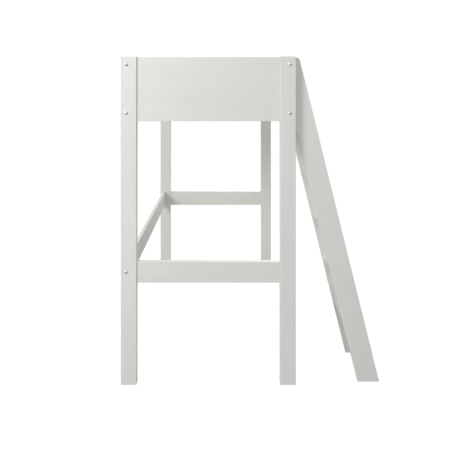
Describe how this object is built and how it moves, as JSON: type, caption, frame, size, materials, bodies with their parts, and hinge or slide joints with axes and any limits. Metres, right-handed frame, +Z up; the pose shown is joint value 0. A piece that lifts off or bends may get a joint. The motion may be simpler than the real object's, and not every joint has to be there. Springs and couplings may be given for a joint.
{
  "type": "high sleeper bed with ladder",
  "caption": "Raised single bed on tall posts with guard boards all round, open space beneath, and a slanted ladder that hooks onto one long side at the end.",
  "frame": {"origin": "on the floor, at the centre of the footprint of the bed with its ladder", "axes": "+X from the wall side to the ladder side, +Y along the bed from the ladder's end to the other end, +Z up"},
  "size_m": [1.464, 2.1136, 1.85],
  "materials": {
    "white_lacquered_wood": "white satin lacquer over smooth solid wood, edges softly rounded",
    "bare_pine": "planed, untreated softwood",
    "beech_dowel": "fluted beech, hidden in the joints",
    "zinc_plated_steel": "bright zinc plate, satin",
    "hook_steel": "white powder coat, fine texture",
    "glide_plastic": "moulded plastic, dark grey"
  },
  "bodies": {
    "bed_frame": {"barrel_nuts": "zinc_plated_steel", "connector_bolts": "zinc_plated_steel", "crossbar_far": "white_lacquered_wood", "crossbar_near": "white_lacquered_wood", "end_board_far": "white_lacquered_wood", "end_board_near": "white_lacquered_wood", "end_frame_dowels": "beech_dowel", "ladder_rest_batten": "white_lacquered_wood", "ledger_entrance": "bare_pine", "ledger_screws": "zinc_plated_steel", "ledger_wall": "bare_pine", "post_far_ladder": "white_lacquered_wood", "post_far_wall": "white_lacquered_wood", "post_glides": "glide_plastic", "post_near_ladder": "white_lacquered_wood", "post_near_wall": "white_lacquered_wood", "rail_dowels": "beech_dowel", "rest_batten_screws": "zinc_plated_steel", "side_panel_entrance": "white_lacquered_wood", "side_panel_wall": "white_lacquered_wood", "slat_01": "bare_pine", "slat_02": "bare_pine", "slat_03": "bare_pine", "slat_04": "bare_pine", "slat_05": "bare_pine", "slat_06": "bare_pine", "slat_07": "bare_pine", "slat_08": "bare_pine", "slat_09": "bare_pine", "slat_10": "bare_pine", "slat_11": "bare_pine", "slat_12": "bare_pine", "slat_13": "bare_pine", "slat_14": "bare_pine", "slat_screws": "zinc_plated_steel", "stretcher_wall": "white_lacquered_wood"},
    "ladder": {"hook_screws": "zinc_plated_steel", "ladder_glides": "glide_plastic", "ladder_hook_far": "hook_steel", "ladder_hook_near": "hook_steel", "ladder_stringer_far": "white_lacquered_wood", "ladder_stringer_near": "white_lacquered_wood", "ladder_tread_1": "white_lacquered_wood", "ladder_tread_2": "white_lacquered_wood", "ladder_tread_3": "white_lacquered_wood", "ladder_tread_4": "white_lacquered_wood", "ladder_tread_5": "white_lacquered_wood", "tread_dowels": "beech_dowel"}
  },
  "joints": [
    {"name": "ladder_lift", "type": "slide", "parent": "bed_frame", "child": "ladder", "axis": [0, 0, 1], "range_m": [0, 0.12]}
  ]
}
